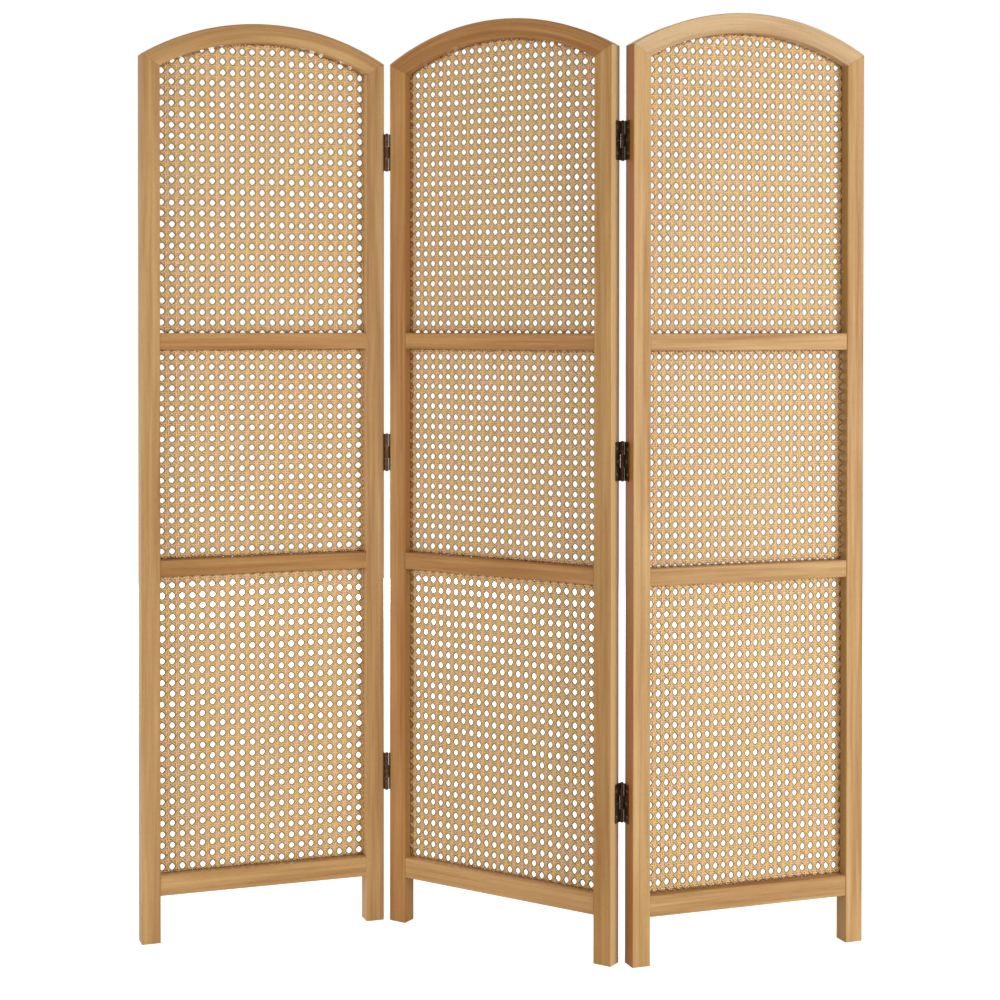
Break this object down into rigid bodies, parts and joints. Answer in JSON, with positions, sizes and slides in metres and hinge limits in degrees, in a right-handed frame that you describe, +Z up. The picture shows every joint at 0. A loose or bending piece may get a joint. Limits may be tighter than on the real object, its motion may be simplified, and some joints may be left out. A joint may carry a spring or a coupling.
{
  "type": "folding screen",
  "caption": "Free-standing folding room divider: arched wooden panels with woven cane infills, joined edge to edge by butt hinges and standing in a zigzag.",
  "frame": {"origin": "on the floor, in the middle of the plan that the screen covers in its pictured fold", "axes": "+X to the right and -Y to the front, as the picture sees the screen; +Z up"},
  "size_m": [1.3374, 0.2944, 1.7],
  "materials": {
    "frame_wood": "satin, light brown softwood with a fine vertical grain",
    "woven_cane": "natural woven rattan cane, matte with slightly glossy skins",
    "dowel_wood": "plain beech, hidden in the joints",
    "hinge_metal": "dark bronze, semi-gloss"
  },
  "bodies": {
    "left_panel": {"left_stile_left": "frame_wood", "left_stile_right": "frame_wood", "left_arch_rail": "frame_wood", "left_upper_rail": "frame_wood", "left_lower_rail": "frame_wood", "left_bottom_rail": "frame_wood", "left_cane_top": "woven_cane", "left_cane_middle": "woven_cane", "left_cane_bottom": "woven_cane", "left_beads_top": "frame_wood", "left_beads_middle": "frame_wood", "left_beads_bottom": "frame_wood", "left_dowels": "dowel_wood", "left_leaf_low": "hinge_metal", "left_leaf_mid": "hinge_metal", "left_leaf_high": "hinge_metal", "front_hinge_pins": "hinge_metal", "left_hinge_screws": "hinge_metal"},
    "centre_panel": {"centre_stile_left": "frame_wood", "centre_stile_right": "frame_wood", "centre_arch_rail": "frame_wood", "centre_upper_rail": "frame_wood", "centre_lower_rail": "frame_wood", "centre_bottom_rail": "frame_wood", "centre_cane_top": "woven_cane", "centre_cane_middle": "woven_cane", "centre_cane_bottom": "woven_cane", "centre_beads_top": "frame_wood", "centre_beads_middle": "frame_wood", "centre_beads_bottom": "frame_wood", "centre_dowels": "dowel_wood", "centre_front_leaf_low": "hinge_metal", "centre_back_leaf_low": "hinge_metal", "centre_front_leaf_mid": "hinge_metal", "centre_back_leaf_mid": "hinge_metal", "centre_front_leaf_high": "hinge_metal", "centre_back_leaf_high": "hinge_metal", "back_hinge_pins": "hinge_metal", "centre_front_screws": "hinge_metal", "centre_back_screws": "hinge_metal"},
    "right_panel": {"right_stile_left": "frame_wood", "right_stile_right": "frame_wood", "right_arch_rail": "frame_wood", "right_upper_rail": "frame_wood", "right_lower_rail": "frame_wood", "right_bottom_rail": "frame_wood", "right_cane_top": "woven_cane", "right_cane_middle": "woven_cane", "right_cane_bottom": "woven_cane", "right_beads_top": "frame_wood", "right_beads_middle": "frame_wood", "right_beads_bottom": "frame_wood", "right_dowels": "dowel_wood", "right_leaf_low": "hinge_metal", "right_leaf_mid": "hinge_metal", "right_leaf_high": "hinge_metal", "right_hinge_screws": "hinge_metal"}
  },
  "joints": [
    {"name": "left_fold", "type": "hinge", "parent": "centre_panel", "child": "left_panel", "pos_m": [-0.20938, 0.11442, 0.896], "axis": [0, 0, 1], "range_deg": [-51.5, 128.5]},
    {"name": "right_fold", "type": "hinge", "parent": "centre_panel", "child": "right_panel", "pos_m": [0.20938, -0.11442, 0.896], "axis": [0, 0, 1], "range_deg": [-51.5, 128.5]}
  ]
}
